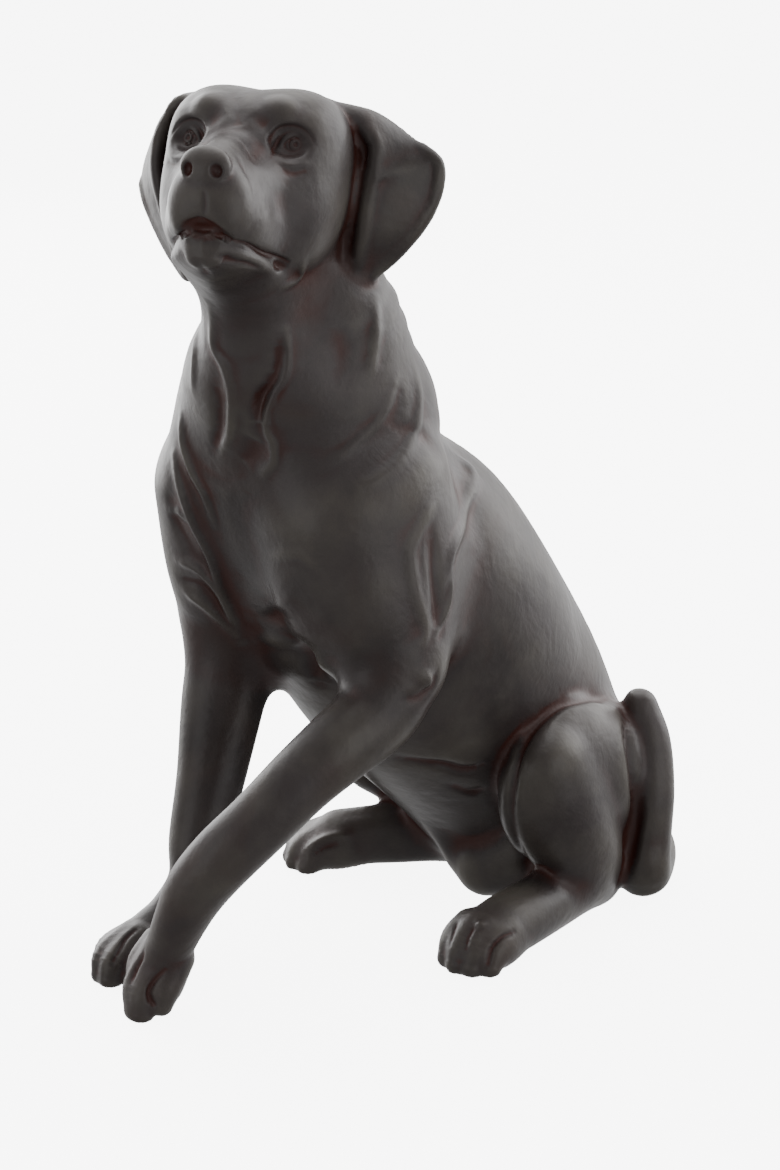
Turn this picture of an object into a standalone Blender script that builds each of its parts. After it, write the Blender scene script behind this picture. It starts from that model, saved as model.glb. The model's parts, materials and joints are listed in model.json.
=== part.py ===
"""A seated retriever, cast in one piece: one closed solid that stands on its four feet, rump and tail.

The figure is built as a modeller builds it in clay. Masses and tapering limbs are set out as rows of
balls, fused by a voxel remesh, and eased onto one blended surface, where every mass runs into its
neighbour with its own softness. Hollows and creases are worked into the same surface.
"""

import math

import bmesh
import bpy
import numpy as np
from mathutils import Matrix, Vector

# Driving dimensions, in metres
HEIGHT = 0.70
SOLE_CUT = 0.0025
EAR_THICKNESS = 0.0095

# The figure's proportions are written on a grid of this many units to its height. X is its left, -Y its
# front and Z up.
GRID_UNITS = 672.0
UNIT = HEIGHT / GRID_UNITS

# How finely the clay is worked, in grid units, and how many faces the finished solid keeps
CLAY_VOXEL = 4.2
SOLID_TRIANGLES = 9400
SPLINE_STEPS = 4
EASING_ROUNDS = 3
FAR = 1e3
SPREAD = 20.0

# The head turns to its left and looks up. Its own axes are left, forward and up, from between the eyes.
HEAD_YAW = math.radians(28.0)
HEAD_PITCH = math.radians(25.0)
HEAD_CENTRE = np.array([25.0, -178.5, 637.5])
MUZZLE_LENGTH = 75.0
MUZZLE_DRIFT = 4.5

ACROSS = (1, 0, 0)


def mirrored(table):
    """The same sections on the other side of the figure."""
    return [(-x, *rest) for x, *rest in table]


def smooth_path(rows, steps):
    """Catmull-Rom through the rows, so that a limb has no corners."""
    rows = np.array(rows, float)
    padded = np.vstack([2 * rows[0] - rows[1], rows, 2 * rows[-1] - rows[-2]])
    found = []
    for i in range(len(rows) - 1):
        before, start, end, after = padded[i : i + 4]
        for step in range(steps):
            t = step / steps
            found.append(
                0.5
                * (
                    2 * start
                    + (end - before) * t
                    + (2 * before - 5 * start + 4 * end - after) * t**2
                    + (3 * start - before - 3 * end + after) * t**3
                )
            )
    found.append(rows[-1])
    return np.array(found)


class Ball:
    """An ellipsoid: its centre, its three radii, and its turn about X, Y and Z in degrees."""

    def __init__(self, centre, radii, turn=(0, 0, 0), soft=12.0):
        self.centre = np.array(centre, float)
        self.radii = np.array(radii, float)
        angles = [math.radians(a) for a in turn]
        self.axes = np.array(Matrix.Rotation(angles[2], 3, "Z") @ Matrix.Rotation(angles[1], 3, "Y")
                             @ Matrix.Rotation(angles[0], 3, "X"))
        self.soft = soft

    def reach(self):
        size = self.radii.max()
        return self.centre - size, self.centre + size

    def distance(self, points):
        local = (points - self.centre) @ self.axes
        return ellipse_distance(local, self.radii)

    def balls(self):
        yield self.centre, self.radii, self.axes


class Loft:
    """A limb: sections (x, y, z, half width, half depth) along it, and the direction of its width,
    or sections that end with three more numbers, the direction of the width at each."""

    def __init__(self, sections, across=ACROSS, soft=12.0, steps=SPLINE_STEPS):
        rows = [tuple(s) + tuple(across) if len(s) == 5 else tuple(s) for s in sections]
        self.rows = smooth_path(rows, steps)
        self.soft = soft
        self.segments = [self.segment(a, b) for a, b in zip(self.rows[:-1], self.rows[1:])]

    @staticmethod
    def segment(a, b):
        along = b[:3] - a[:3]
        length = np.linalg.norm(along)
        tangent = along / length
        width_way = (a[5:8] + b[5:8]) / 2
        width_way = width_way - tangent * (width_way @ tangent)
        width_way /= np.linalg.norm(width_way)
        depth_way = np.cross(tangent, width_way)
        return a, b, length, np.stack([width_way, depth_way, tangent], axis=1)

    def reach(self):
        size = self.rows[:, 3:5].max(1)[:, None]
        return (self.rows[:, :3] - size).min(0), (self.rows[:, :3] + size).max(0)

    def distance(self, points):
        nearest = np.full(len(points), FAR)
        for a, b, length, axes in self.segments:
            size = max(a[3:5].max(), b[3:5].max()) + self.soft + SPREAD
            low, high = np.minimum(a[:3], b[:3]) - size, np.maximum(a[:3], b[:3]) + size
            close = np.flatnonzero(np.all((points > low) & (points < high), axis=1))
            local = (points[close] - a[:3]) @ axes
            along = np.clip(local[:, 2], 0, length)
            share = (along / length)[:, None]
            radii = a[3:5] + (b[3:5] - a[3:5]) * share
            local[:, 2] -= along
            radii = np.concatenate([radii, radii.min(1)[:, None]], axis=1)
            nearest[close] = np.minimum(nearest[close], ellipse_distance(local, radii))
        return nearest

    def balls(self):
        for a, b, length, axes in self.segments:
            count = max(1, round(length / (0.5 * min(a[3], a[4]))))
            for k in range(count):
                row = a + (b - a) * (k / count)
                yield row[:3], np.array([row[3], row[4], min(row[3], row[4])]), axes
        row = self.rows[-1]
        yield row[:3], np.array([row[3], row[4], min(row[3], row[4])]), self.segments[-1][3]


class Crease:
    """A line worked into the surface: a groove where depth is positive, and a ridge where it isn't."""

    def __init__(self, path, width, depth, steps=6):
        self.rows = smooth_path(path, steps)
        self.width = width
        self.depth = depth

    def reach(self):
        margin = 3 * self.width
        return self.rows.min(0) - margin, self.rows.max(0) + margin

    def change(self, points):
        nearest = np.full(len(points), FAR)
        taper = np.zeros(len(points))
        count = len(self.rows) - 1
        for i, (a, b) in enumerate(zip(self.rows[:-1], self.rows[1:])):
            along = b - a
            share = np.clip((points - a) @ along / (along @ along), 0, 1)
            gap = np.linalg.norm(points - (a + share[:, None] * along), axis=1)
            closer = gap < nearest
            nearest[closer] = gap[closer]
            taper[closer] = ((i + share) / count)[closer]
        ends = np.sqrt(np.clip(np.sin(np.pi * np.clip(taper, 0.02, 0.98)), 0, 1))
        return self.depth * ends * np.exp(-((nearest / self.width) ** 2))


def ellipse_distance(local, radii):
    """How far a point is outside an ellipsoid, close to its surface."""
    scaled = local / radii
    k0 = np.sqrt(np.einsum("ij,ij->i", scaled, scaled))
    scaled /= radii
    k1 = np.sqrt(np.einsum("ij,ij->i", scaled, scaled))
    return k0 * (k0 - 1) / np.maximum(k1, 1e-6)


def soft_union(first, second, soft):
    share = np.clip(soft - np.abs(first - second), 0, None) / soft
    return np.minimum(first, second) - share**2 * soft / 4


def near(shape, points, margin):
    low, high = shape.reach()
    return np.flatnonzero(np.all((points > low - margin) & (points < high + margin), axis=1))


def blend(shapes, points, field=None):
    """The masses run together. A mass counts only close to its own box."""
    field = np.full(len(points), FAR) if field is None else field
    for shape in shapes:
        close = near(shape, points, shape.soft + SPREAD)
        if len(close):
            field[close] = soft_union(field[close], shape.distance(points[close]), shape.soft)
    return field


def hollow(shapes, points, field):
    for shape in shapes:
        close = near(shape, points, shape.soft + SPREAD)
        if len(close):
            field[close] = -soft_union(-field[close], shape.distance(points[close]), shape.soft)
    return field


def crease(lines, points, field):
    for line in lines:
        close = near(line, points, 0)
        if len(close):
            field[close] += line.change(points[close])
    return field


def head_axes():
    """Columns are the head's left, forward and up."""
    yaw, pitch = HEAD_YAW, HEAD_PITCH
    forward = np.array([math.sin(yaw) * math.cos(pitch), -math.cos(yaw) * math.cos(pitch), math.sin(pitch)])
    left = np.array([math.cos(yaw), math.sin(yaw), 0.0])
    return np.stack([left, forward, np.cross(forward, left)], axis=1)


def trunk_masses():
    trunk = [
        (-4, -84, 398, 76, 72),
        (0, -60, 346, 84, 89),
        (4, -22, 288, 101, 111),
        (3, 26, 224, 104, 114),
        (0, 90, 150, 96, 105),
        (0, 136, 84, 90, 92),
    ]
    neck = [
        (-5, -90, 392, 84, 80),
        (4, -102, 444, 89, 86),
        (8, -108, 494, 71, 72),
        (9, -132, 552, 42, 47),
        (18, -144, 595, 44, 48),
    ]
    breast = [
        (0, -118, 430, 58, 50),
        (4, -116, 380, 54, 54),
        (6, -108, 335, 48, 54),
        (6, -94, 290, 42, 48),
        (10, -82, 262, 34, 40),
    ]
    beside_breast = [
        (44, -130, 402, 32, 38),
        (49, -130, 352, 30, 38),
        (51, -126, 300, 27, 36),
        (60, -116, 262, 17, 25),
    ]
    behind_arm = [(80, -84, 380, 32, 44), (90, -76, 324, 30, 42), (96, -78, 270, 20, 32)]
    throat = [(34, -190, 545, 24, 24), (24, -172, 508, 36, 32), (12, -150, 468, 46, 42)]
    sheath = [(0, -4, 120, 16, 14), (0, 30, 92, 15, 15), (4, 50, 62, 15, 15), (14, 62, 36, 18, 18)]
    groin = [(34, 66, 30, 26, 26), (60, 80, 40, 30, 34)]
    return [
        Loft(trunk),
        Loft(neck, soft=40),
        Loft(breast, soft=30),
        Loft(beside_breast, soft=30),
        Loft(mirrored(beside_breast), soft=30),
        Loft(behind_arm, soft=30),
        Loft(mirrored(behind_arm), soft=30),
        Loft(throat, soft=30),
        Ball((0, -60, 422), (70, 60, 42), soft=26),
        Loft(sheath, soft=10),
        Loft(groin, soft=8),
    ]


def foreleg_masses():
    left_arm = [(78, -124, 362, 36, 46), (90, -116, 306, 35, 43), (99, -105, 252, 28, 33)]
    left_foreleg = [
        (104, -102, 244, 27, 31),
        (106, -124, 222, 27, 31),
        (103, -164, 203, 26, 28),
        (95, -194, 183, 24, 26),
        (82, -223, 155, 23, 25),
        (67, -245, 130, 23, 25),
        (52, -256, 106, 22, 24),
        (39, -260, 80, 19, 21),
        (26, -261, 54, 17, 18),
    ]
    right_arm = [(-69, -122, 358, 36, 44), (-70, -116, 300, 34, 40), (-65, -102, 245, 31, 38)]
    right_foreleg = [
        (-66, -104, 242, 31, 38),
        (-59, -126, 190, 30, 33),
        (-50, -148, 136, 25, 27),
        (-46, -165, 92, 22, 23),
        (-39, -176, 64, 19, 21),
        (-42, -196, 42, 18, 18),
        (-47, -214, 30, 19, 16),
    ]
    return [
        Loft(left_arm, soft=40),
        Loft(right_arm, soft=40),
        Loft(left_foreleg, soft=20),
        Loft(right_foreleg, soft=20),
    ]


def hind_masses():
    haunch = Ball((99, 80, 112), (35, 68, 66), (0, 0, 6), soft=6)
    right_haunch = Ball((-98, 98, 108), (34, 62, 64), (0, 0, -6), soft=6)
    rump = [(84, 120, 100, 46, 62), (66, 160, 76, 46, 60)]
    left_shin = [
        (114, 46, 140, 24, 30),
        (118, 62, 96, 26, 36),
        (112, 92, 52, 26, 34),
        (100, 118, 26, 19, 24),
    ]
    right_shin = [
        (-104, 86, 130, 24, 30),
        (-98, 94, 92, 26, 32),
        (-76, 106, 54, 26, 32),
        (-48, 108, 28, 20, 24),
    ]
    left_foot = [(98, 118, 22, 19, 20), (108, 66, 24, 23, 23), (119, 4, 24, 25, 24), (124, -30, 22, 26, 21)]
    right_foot = [(-42, 102, 24, 20, 22), (-70, 65, 26, 21, 24), (-98, 34, 24, 22, 22)]
    return [
        haunch,
        right_haunch,
        Loft(rump, soft=16),
        Loft(mirrored(rump), soft=16),
        Loft(left_shin, soft=10),
        Loft(right_shin, soft=10),
        Loft(left_foot, soft=14),
        Loft(right_foot, soft=14),
    ]


def tail_mass():
    tail = [
        (0, 205, 70, 28, 28),
        (14, 232, 36, 25, 25),
        (54, 218, 22, 22, 22),
        (92, 188, 22, 22, 22),
        (117, 154, 24, 22, 22),
        (119, 153, 54, 21, 20),
        (119, 156, 90, 20.5, 20),
        (113, 161, 126, 18, 18),
        (103, 162, 152, 14.5, 15),
    ]
    return Loft(tail, across=(0.5, 0.5, 0.7), soft=3)


def paw(toes, pad):
    """Toes side by side, each from its knuckle to its tip, and the pad under them."""
    across = np.array(toes[-1][0]) - np.array(toes[0][0])
    masses = [pad]
    for knuckle, middle, tip in toes:
        toe = [(*knuckle, 11, 12), (*middle, 10.5, 12), (*tip, 8.5, 9)]
        masses.append(Loft(toe, across=tuple(across), soft=5))
    return masses


def flat_toes(centre, heading, size):
    """Four toes that lie forward on the ground, the inner two furthest. Heading is the way they point,
    in degrees from the front."""
    turn = math.radians(heading)
    forward = np.array([math.sin(turn), -math.cos(turn), 0.0]) * size
    left = np.array([math.cos(turn), math.sin(turn), 0.0]) * size
    centre = np.array(centre, float)
    up = np.array([0.0, 0.0, size])
    toes = []
    for side, reach in ((-17, -7), (-6, 0), (6, 0), (17, -7)):
        knuckle = centre + left * side * 0.9 + forward * (reach - 10) + up * 9
        middle = centre + left * side + forward * (reach + 6) + up * 3
        tip = centre + left * side + forward * (reach + 15) - up * 8
        toes.append((knuckle, middle, tip))
    return toes


def paw_masses():
    left_fore = [
        ((5, -254, 50), (0, -264, 35), (3, -272, 21)),
        ((12, -260, 46), (10, -277, 25), (14, -284, 8)),
        ((22, -261, 44), (20, -279, 23), (21, -284, 7)),
        ((30, -255, 44), (31, -268, 27), (31, -274, 14)),
    ]
    right_fore = [
        ((-61, -220, 25), (-65, -238, 18), (-64, -245, 8)),
        ((-53, -227, 29), (-55, -249, 19), (-54, -256, 7)),
        ((-43, -229, 30), (-43, -251, 19), (-43, -258, 7)),
        ((-32, -221, 28), (-31, -239, 18), (-30, -246, 8)),
    ]
    return (
        paw(left_fore, Ball((19, -263, 30), (18, 18, 24), (0, 0, 0), 12))
        + paw(right_fore, Ball((-48, -228, 12), (21, 22, 13), (0, 0, 0), 8))
        + paw(flat_toes((124, -42, 17), 14, 1.06), Ball((122, -30, 16), (27, 32, 18), (0, 0, 14), 10))
        + paw(flat_toes((-112, 19, 15), -34, 1.05), Ball((-105, 27, 15), (25, 32, 17), (0, 0, -34), 10))
    )


def head_masses():
    """In the head's own axes. Only its left half is written: but for the ears, the head is the same on
    both sides."""
    muzzle = [(0, -26, -34, 36, 40), (0, 10, -44, 35, 38), (0, 42, -50, 32, 33), (0, 60, -53, 28, 28)]
    bridge = [(0, -6, -10, 15, 12), (0, 20, -14, 14, 12), (0, 46, -22, 13, 12), (0, 74, -35, 14, 12)]
    lip = [(20, -44, -58, 9, 14), (28, -22, -67, 10, 16), (30, 10, -68, 10, 16), (25, 40, -68, 11, 16),
           (13, 65, -66, 12, 17)]
    lower_lip = [(0, 64, -89, 4.5, 5.5), (10, 61.5, -89, 4.5, 5.5), (21, 45, -89.5, 4.5, 5.5),
                 (29, 24, -89.5, 4.5, 5), (31, 8, -89, 4, 4.5), (30, -6, -89, 3, 3.5)]
    jaw = [(0, -60, -70, 40, 36), (0, -16, -84, 37, 24), (0, 15, -90, 32, 15.5), (0, 42, -93, 24, 12),
           (0, 58, -94, 14, 10)]
    chin = [(0, -40, -84, 22, 24), (0, 10, -96, 15, 13), (0, 36, -96, 10, 9)]
    return [
        Ball((0, -50, 3), (56, 72, 42), soft=1),
        Ball((30, -42, 17), (32, 44, 29), soft=14),
        Ball((25, 0, 20.5), (13, 12, 11), soft=7),
        Ball((39, -13, 15), (12, 12, 9), soft=7),
        Ball((40, -38, -25), (21, 48, 40), soft=26),
        Loft(muzzle, soft=22),
        Ball((24, 0, -38), (13, 34, 16), soft=18),
        Ball((36, -30, -52), (17, 30, 30), soft=26),
        Loft(bridge, soft=10),
        Loft(lip, soft=15),
        Ball((0, 82.5, -37), (18, 10.5, 14), soft=4),
        Loft(jaw, soft=3),
        Loft(chin, soft=12),
        Loft(lower_lip, soft=5),
        Ball((66, -84, 2), (18, 20, 44), soft=8),
    ]


def head_hollows():
    lip_edge = [(0, 79, -76, 5, 3.2), (8, 76, -79, 5, 3.2), (14, 71, -81.5, 5, 2.4), (19, 64, -83.5, 4, 1.2)]
    return [
        Ball((10.5, 92, -42), (4.2, 7, 5.2), soft=3),
        Ball((37, 8, -1), (13, 7, 10), (0, 0, -28), 6),
        Ball((0, 80, -79), (12, 11, 4.8), soft=2),
        Loft(lip_edge, soft=2),
        Ball((39, -5, -86), (7, 9, 5), soft=3),
    ]


def ear_masses():
    """Flaps that hang from the sides of the skull. The left one stands out a little more."""
    half = 0.5 * EAR_THICKNESS / UNIT
    left_ear = [
        (42, -50, 35, 9, half + 4.0, -0.20, -0.50, 0.85),
        (60, -58, 34, 10, half + 3.5, -0.10, -0.60, 0.80),
        (72, -66, 31, 14, half + 2.5, 0.05, -0.71, 0.70),
        (82, -72, 23.5, 18, half + 1.5, 0.33, -0.77, 0.55),
        (90.5, -77, 12, 24.5, half + 0.5, 0.62, -0.69, 0.38),
        (96, -80, 2, 30, half, 0.72, -0.58, 0.38),
        (94.5, -84, -16.5, 30.5, half, 0.74, -0.58, 0.33),
        (88, -89, -37.5, 25.5, half, 0.76, -0.59, 0.28),
        (77, -95, -57.5, 17, half, 0.76, -0.64, 0.15),
        (69, -97.5, -69.5, 9, half, 0.68, -0.74, 0.0),
    ]
    right_ear = [
        (-46, -50, 36, 18, half + 4.0, -0.20, -1.0, 0.0),
        (-66, -59, 34, 20, half + 2.0, -0.35, -0.93, 0.0),
        (-83, -69, 21, 21, half + 1.0, -0.42, -0.90, 0.0),
        (-91, -76, 4, 23, half, -0.46, -0.89, 0.0),
        (-93, -83, -15, 25, half, -0.52, -0.85, 0.0),
        (-87, -90, -35, 23, half, -0.52, -0.85, 0.0),
        (-75, -98, -60, 16, half, -0.50, -0.86, 0.0),
        (-63, -103, -78, 8, half, -0.46, -0.88, 0.0),
    ]
    return [part for ear in (left_ear, right_ear) for part in (Loft(ear, soft=5), ear_rim(ear, half + 0.6))]


def ear_rim(ear, radius):
    """The rounded edge of an ear, down its front, round its tip and up its back."""
    ear = smooth_path(ear[2:], 2)
    centres, reach = ear[:, :3], ear[:, 3:4] - 0.8 * radius
    out = ear[:, 5:8] / np.linalg.norm(ear[:, 5:8], axis=1)[:, None]
    path = np.vstack([centres - out * reach, (centres + out * reach)[:3:-1]])
    return Loft([(*point, radius, radius) for point in path], across=(0.1, 0.3, 0.9), soft=4, steps=2)


def muzzle_drift(forward):
    """The end of the muzzle sits a little to the left of the skull's own middle."""
    share = np.clip(forward / MUZZLE_LENGTH, 0, 1)
    return MUZZLE_DRIFT * share**2 * (3 - 2 * share)


def eyeball():
    return Ball((37, -6, -2), (12, 12, 12), soft=2)


def body_creases():
    """Folds of the skin and the lines between muscles, each with how wide and how deep it is."""
    throat = [(37, -173, 480), (38, -173, 458), (37, -173, 442), (34, -174, 426), (28, -175, 414)]
    throat_fold = [
        (53, -163, 500),
        (54, -162, 472),
        (48, -166, 452),
        (43, -170, 438),
        (43, -169, 418),
        (40, -168, 400),
    ]
    dewlap = [(-11, -180, 520), (5, -182, 493), (15, -182, 461), (15, -181, 435), (1, -180, 408)]
    neck_side = [(-25, -179, 484), (-41, -175, 451), (-48, -172, 420), (-40, -171, 387), (-26, -167, 354)]
    chest_side = [
        (-61, -166, 392),
        (-53, -170, 367),
        (-46, -162, 334),
        (-41, -150, 302),
        (-37, -140, 275),
        (-31, -132, 244),
    ]
    arm_upper = [(-76, -160, 318), (-59, -157, 305), (-47, -149, 291), (-40, -142, 277)]
    arm_lower = [(-72, -152, 282), (-54, -147, 269), (-40, -138, 255)]
    neck_back = [(76, -94, 522), (76, -99, 491), (76, -104, 466)]
    shoulder_front = [(70, -50, 424), (89, -81, 406), (100, -113, 396), (92, -140, 390)]
    shoulder_slope = [(86, -92, 428), (82, -121, 418), (77, -150, 399)]
    shoulder_rear = [(50, 14, 396), (85, -17, 363), (98, -37, 335), (103, -47, 307), (108, -60, 284)]
    shoulder_fold = [(92, -46, 366), (113, -90, 341), (123, -104, 313), (127, -104, 280)]
    armpit = [(31, -120, 247), (27, -110, 224), (20, -99, 200)]
    elbow = [(132, -113, 256), (134, -101, 247), (128, -88, 233), (130, -102, 219)]
    flank = [
        (100, 124, 170),
        (105, 70, 180),
        (104, 37, 168),
        (107, 16, 147),
        (107, 10, 116),
        (105, 25, 71),
        (88, 58, 40),
    ]
    flank_skin = [(98, 24, 146), (74, 3, 134), (65, -20, 142), (50, -46, 150)]
    hip = [(106, 143, 155), (129, 114, 127), (133, 105, 98), (138, 98, 69), (134, 99, 36)]
    right_flank = [
        (-100, 140, 166),
        (-104, 88, 176),
        (-103, 54, 164),
        (-106, 34, 143),
        (-106, 28, 112),
        (-104, 43, 68),
    ]
    breast = [(-22, -132, 262), (11, -136, 282), (34, -134, 289), (52, -133, 284)]
    return [
        Crease(throat, 11, 10),
        Crease(throat_fold, 8, -5),
        Crease(dewlap, 8, -4),
        Crease(neck_side, 8, 4),
        Crease(chest_side, 7, 5),
        Crease(arm_upper, 6, 4),
        Crease(arm_lower, 6, 4),
        Crease(neck_back, 8, 3),
        Crease(shoulder_front, 9, 4),
        Crease(shoulder_slope, 9, 3),
        Crease(shoulder_rear, 10, 6),
        Crease(shoulder_fold, 8, 4),
        Crease(armpit, 9, 7),
        Crease(elbow, 6, 4),
        Crease(flank, 8, 7),
        Crease(flank_skin, 8, 4),
        Crease(hip, 7, 5),
        Crease(right_flank, 8, 7),
        Crease(breast, 7, -3),
    ]


def build_shapes():
    return {
        "body": trunk_masses() + foreleg_masses() + hind_masses() + paw_masses() + [tail_mass()],
        "head": head_masses(),
        "hollows": head_hollows(),
        "eyes": [eyeball()],
        "ears": ear_masses(),
        "creases": body_creases(),
    }


def field_at(shapes, points):
    """How far each point is outside the finished figure, in grid units."""
    placed = (points - HEAD_CENTRE) @ head_axes()
    folded = placed.copy()
    folded[:, 0] = np.abs(folded[:, 0] - muzzle_drift(folded[:, 1]))
    head = blend(shapes["head"], folded)
    head = hollow(shapes["hollows"], folded, head)
    head = blend(shapes["eyes"], folded, head)
    field = soft_union(blend(shapes["body"], points), head, 24.0)
    field = blend(shapes["ears"], placed, field)
    return crease(shapes["creases"], points, field)


def block_out(shapes):
    """Every mass as balls, in one mesh of overlapping shells."""
    ball = bmesh.new()
    bmesh.ops.create_uvsphere(ball, u_segments=14, v_segments=9, radius=1.0)
    skin = np.array([vert.co[:] for vert in ball.verts])
    faces = [[vert.index for vert in face.verts] for face in ball.faces]
    ball.free()

    axes = head_axes()
    shells = []
    for shape in shapes["body"]:
        for centre, radii, turn in shape.balls():
            shells.append(centre + (skin * radii) @ turn.T)
    for shape in shapes["head"] + shapes["eyes"] + shapes["ears"]:
        for centre, radii, turn in shape.balls():
            placed = centre + (skin * radii) @ turn.T
            shells.append(HEAD_CENTRE + placed @ axes.T)
            if shape not in shapes["ears"]:
                shells.append(HEAD_CENTRE + (placed * (-1, 1, 1)) @ axes.T)

    clay = bpy.data.meshes.new("figure")
    every_face = [[n + i * len(skin) for n in face] for i in range(len(shells)) for face in faces]
    clay.from_pydata(np.vstack(shells).tolist(), [], every_face)
    tidy = bmesh.new()
    tidy.from_mesh(clay)
    bmesh.ops.recalc_face_normals(tidy, faces=tidy.faces)
    tidy.to_mesh(clay)
    tidy.free()
    return clay


def evaluated(figure):
    """The object's modifiers become its mesh."""
    graph = bpy.context.evaluated_depsgraph_get()
    data = bpy.data.meshes.new_from_object(figure.evaluated_get(graph))
    figure.modifiers.clear()
    figure.data = data
    return data


def fuse(figure, voxel):
    remesh = figure.modifiers.new("fuse", "REMESH")
    remesh.mode = "VOXEL"
    remesh.voxel_size = voxel
    return evaluated(figure)


def ease(data, shapes, rounds):
    """Moves every vertex along the field's slope onto the finished surface."""
    count = len(data.vertices)
    points = np.empty(count * 3, np.float32)
    data.vertices.foreach_get("co", points)
    points = points.reshape(-1, 3).astype(float)
    step = 0.6
    for _ in range(rounds):
        field = field_at(shapes, points)
        slope = np.empty_like(points)
        for axis in range(3):
            shifted = points.copy()
            shifted[:, axis] += step
            slope[:, axis] = (field_at(shapes, shifted) - field) / step
        size = np.maximum((slope**2).sum(1), 0.15)
        move = slope * (field / size)[:, None]
        length = np.linalg.norm(move, axis=1)[:, None]
        points -= move * np.minimum(1.0, 8.0 / np.maximum(length, 1e-9))
    data.vertices.foreach_set("co", points.astype(np.float32).ravel())
    data.update()


def thin(figure, triangles):
    """Keeps the faces where the surface bends, and most of them on the head and the paws."""
    group = figure.vertex_groups.new(name="plain")
    for vert in figure.data.vertices:
        x, y, z = vert.co
        head = min(max((z - 520) / 40, 0), 1)
        paw = min(max((70 - z) / 30, 0), 1) * min(max((10 - y) / 30, 0), 1)
        group.add([vert.index], 1.0 - 0.8 * max(head, paw), "REPLACE")
    modifier = figure.modifiers.new("thin", "DECIMATE")
    modifier.ratio = triangles / (2 * len(figure.data.polygons))
    modifier.vertex_group = group.name
    data = evaluated(figure)
    figure.vertex_groups.clear()
    return data


def stand(data):
    """Cuts the feet, the rump and the tail flat where they meet the ground, brings the figure to its
    height, and sets it over its own middle."""
    mesh = bmesh.new()
    mesh.from_mesh(data)
    level = SOLE_CUT / UNIT
    everything = list(mesh.verts) + list(mesh.edges) + list(mesh.faces)
    bmesh.ops.bisect_plane(
        mesh, geom=everything, plane_co=(0, 0, level), plane_no=(0, 0, 1), clear_inner=True, dist=0.05
    )
    for vert in mesh.verts:
        if vert.co.z < level + 0.5:
            vert.co.z = level
    bmesh.ops.holes_fill(mesh, edges=[edge for edge in mesh.edges if edge.is_boundary], sides=0)
    bmesh.ops.triangulate(mesh, faces=[face for face in mesh.faces if len(face.verts) > 3])
    bmesh.ops.dissolve_degenerate(mesh, dist=0.2, edges=mesh.edges)
    bmesh.ops.recalc_face_normals(mesh, faces=mesh.faces)
    corners = np.array([vert.co[:] for vert in mesh.verts])
    low, high = corners.min(0), corners.max(0)
    middle = Vector(((low[0] + high[0]) / 2, (low[1] + high[1]) / 2, low[2]))
    bmesh.ops.translate(mesh, vec=-middle, verts=mesh.verts)
    bmesh.ops.scale(mesh, vec=[HEIGHT / (high[2] - low[2])] * 3, verts=mesh.verts)
    mesh.to_mesh(data)
    mesh.free()
    data.shade_smooth()
    return middle, HEIGHT / (high[2] - low[2])


def bronze_finish():
    """Near-black brown patina with a low, waxed gloss."""
    material = bpy.data.materials.new("dark_bronze_patina")
    material.use_nodes = True
    surface = material.node_tree.nodes["Principled BSDF"]
    surface.inputs["Base Color"].default_value = (0.058, 0.050, 0.047, 1.0)
    surface.inputs["Roughness"].default_value = 0.42
    surface.inputs["Metallic"].default_value = 0.0
    return material


def build_figure(home):
    shapes = build_shapes()
    figure = bpy.data.objects.new("seated_dog", block_out(shapes))
    home.objects.link(figure)
    for _ in range(2):
        ease(fuse(figure, CLAY_VOXEL), shapes, EASING_ROUNDS)
    thin(figure, SOLID_TRIANGLES)
    stand(figure.data)
    figure.data.name = "seated_dog"
    figure.data.materials.clear()
    figure.data.materials.append(bronze_finish())
    return figure


def main():
    for thing in list(bpy.data.objects):
        bpy.data.objects.remove(thing)
    home = bpy.data.collections.new("seated_dog_statue")
    bpy.context.scene.collection.children.link(home)
    build_figure(home)


main()
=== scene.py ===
import json
import math
from concurrent.futures import ThreadPoolExecutor

import bpy
import numpy as np
from mathutils import Matrix, Vector
from mathutils.bvhtree import BVHTree

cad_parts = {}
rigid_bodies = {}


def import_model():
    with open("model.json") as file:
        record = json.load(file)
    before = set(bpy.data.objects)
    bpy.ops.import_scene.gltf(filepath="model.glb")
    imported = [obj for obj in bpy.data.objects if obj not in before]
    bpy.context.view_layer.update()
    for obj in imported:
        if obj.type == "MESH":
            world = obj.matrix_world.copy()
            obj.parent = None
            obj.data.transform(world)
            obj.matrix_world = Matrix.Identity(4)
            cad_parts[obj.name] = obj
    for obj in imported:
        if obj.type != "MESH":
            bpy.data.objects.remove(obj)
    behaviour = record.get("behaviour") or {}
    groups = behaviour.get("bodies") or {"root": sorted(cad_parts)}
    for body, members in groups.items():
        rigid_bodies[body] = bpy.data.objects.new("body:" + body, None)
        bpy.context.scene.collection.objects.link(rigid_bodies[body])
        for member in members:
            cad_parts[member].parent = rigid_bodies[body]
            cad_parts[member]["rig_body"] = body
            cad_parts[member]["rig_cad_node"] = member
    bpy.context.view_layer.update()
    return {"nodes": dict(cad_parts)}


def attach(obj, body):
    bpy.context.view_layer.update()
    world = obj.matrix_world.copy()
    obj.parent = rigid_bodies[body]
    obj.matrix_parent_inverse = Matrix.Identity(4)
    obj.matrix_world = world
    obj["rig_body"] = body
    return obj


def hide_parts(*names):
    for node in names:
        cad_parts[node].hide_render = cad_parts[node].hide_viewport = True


# A seated retriever in dark bronze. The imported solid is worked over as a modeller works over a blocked-out
# figure: its skin is remeshed finely and settled onto the masses, and then folds, lids, lips and toes are
# pressed into it. Places are on the figure's own grid: X is its left, -Y its front, Z up.

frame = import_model()

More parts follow.
